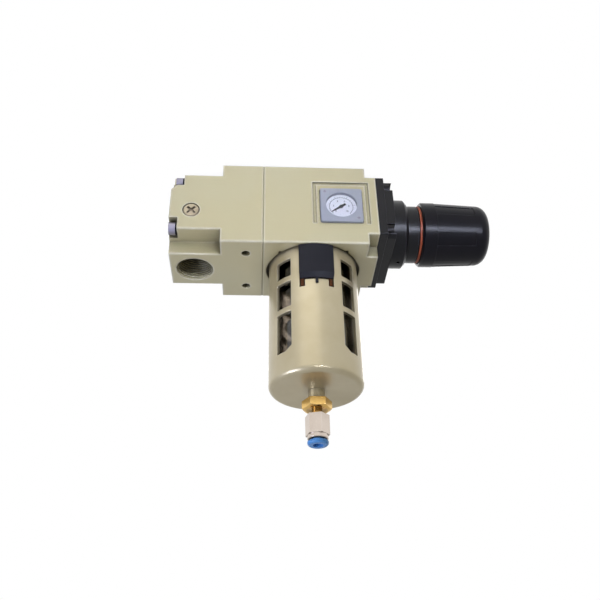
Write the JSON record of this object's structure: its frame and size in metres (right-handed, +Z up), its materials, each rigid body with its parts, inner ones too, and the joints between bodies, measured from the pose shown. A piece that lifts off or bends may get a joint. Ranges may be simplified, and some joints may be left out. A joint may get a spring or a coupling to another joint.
{
  "type": "filter regulator",
  "caption": "Compressed air filter regulator with a port block at one end, a guarded clear bowl with drain below, a gauge in front and a pull-to-turn knob on the other end.",
  "frame": {"origin": "centre of the mouth of the lower pipe port, in the underside of the port block", "axes": "+Z up through both pipe ports, +X along the unit from the port block to the knob, the gauge faces -Y"},
  "size_m": [0.2186, 0.0657, 0.1898],
  "materials": {
    "cast_body": "champagne painted die cast aluminium",
    "guard_shell": "champagne anodised drawn shell",
    "black_plastic": "black glass filled nylon",
    "knob_plastic": "black moulded knob, semi gloss",
    "button_plastic": "slate grey moulded button",
    "clear_bowl": "clear polycarbonate",
    "steel_screw": "zinc plated steel",
    "dark_steel": "blackened steel",
    "spring_steel": "drawn spring wire",
    "copper_wire": "copper coloured spring wire",
    "brass": "machined brass",
    "nickel": "nickel plated brass",
    "blue_plastic": "blue acetal",
    "orange_plastic": "orange band",
    "seal_rubber": "nitrile rubber",
    "diaphragm_rubber": "fabric reinforced rubber",
    "element_media": "sintered white polyethylene",
    "white_plastic": "white acetal",
    "float_foam": "grey closed cell float",
    "gauge_frame": "grey moulded gauge case",
    "dial_face": "white printed dial",
    "lens": "clear lens",
    "pointer_black": "black painted hand",
    "aluminium_plain": "turned aluminium"
  },
  "bodies": {
    "housing": {"port_block": "cast_body", "gallery_seals": "seal_rubber", "block_screws": "steel_screw", "block_washers": "dark_steel", "port_plug": "steel_screw", "body": "cast_body", "bowl": "clear_bowl", "bowl_seal": "seal_rubber", "bowl_guard": "guard_shell", "lock_springs": "copper_wire", "swirl_ring": "black_plastic", "filter_tube": "white_plastic", "filter_element": "element_media", "baffle": "black_plastic", "baffle_screw": "white_plastic", "drain_housing": "white_plastic", "drain_nut": "brass", "fitting_body": "nickel", "fitting_seal": "seal_rubber", "grip_ring": "spring_steel", "valve_seat": "brass", "valve_guide": "brass", "valve_spring": "spring_steel", "diaphragm": "diaphragm_rubber", "bonnet": "black_plastic", "bonnet_screws": "dark_steel", "lock_band": "orange_plastic", "adjusting_spring": "spring_steel", "gauge_case": "gauge_frame", "gauge_seal": "seal_rubber", "gauge_dial": "dial_face", "gauge_lens": "lens", "gauge_screws": "steel_screw"},
    "button": {"lock_button": "button_plastic"},
    "float": {"drain_float": "float_foam"},
    "ring": {"release_ring": "blue_plastic"},
    "poppet": {"valve_poppet": "seal_rubber", "valve_stem": "brass"},
    "plates": {"diaphragm_plate": "aluminium_plain", "wet_side_plate": "aluminium_plain"},
    "screw": {"adjusting_screw": "steel_screw", "retaining_clip": "dark_steel"},
    "nut": {"adjusting_nut": "brass"},
    "knob": {"knob": "knob_plastic"},
    "pointer": {"gauge_pointer": "pointer_black"}
  },
  "joints": [
    {"name": "knob_turn", "type": "hinge", "parent": "housing", "child": "screw", "pos_m": [0.16, 0, 0.0325], "axis": [1, 0, 0], "range_deg": [0, 2160]},
    {"name": "knob_pull", "type": "slide", "parent": "screw", "child": "knob", "axis": [-1, 0, 0], "range_m": [0, 0.0035]},
    {"name": "nut_travel", "type": "slide", "parent": "housing", "child": "nut", "axis": [-1, 0, 0], "range_m": [0, 0.009], "deforming": ["adjusting_spring"]},
    {"name": "diaphragm_stroke", "type": "slide", "parent": "housing", "child": "plates", "axis": [-1, 0, 0], "range_m": [0, 0.0015], "stiffness_N_per_m": 2000, "deforming": ["diaphragm", "adjusting_spring"]},
    {"name": "valve_lift", "type": "slide", "parent": "housing", "child": "poppet", "axis": [-1, 0, 0], "range_m": [0, 0.0015], "deforming": ["valve_spring"]},
    {"name": "lock_slide", "type": "slide", "parent": "housing", "child": "button", "axis": [0, 0, -1], "range_m": [0, 0.004], "stiffness_N_per_m": 600, "springref_m": -0.004, "deforming": ["lock_springs"]},
    {"name": "pointer_swing", "type": "hinge", "parent": "housing", "child": "pointer", "pos_m": [0.0972, -0.0315, 0.0309], "axis": [0, 1, 0], "range_deg": [-10, 260]},
    {"name": "float_rise", "type": "slide", "parent": "housing", "child": "float", "axis": [0, 0, 1], "range_m": [0, 0.006]},
    {"name": "ring_press", "type": "slide", "parent": "housing", "child": "ring", "axis": [0, 0, 1], "range_m": [0, 0.001], "stiffness_N_per_m": 800, "springref_m": -0.001}
  ],
  "couplings": [
    {"joint": "nut_travel", "follows": "knob_turn", "m_per_rad": 0.00023873},
    {"joint": "valve_lift", "follows": "diaphragm_stroke", "ratio": 1}
  ]
}
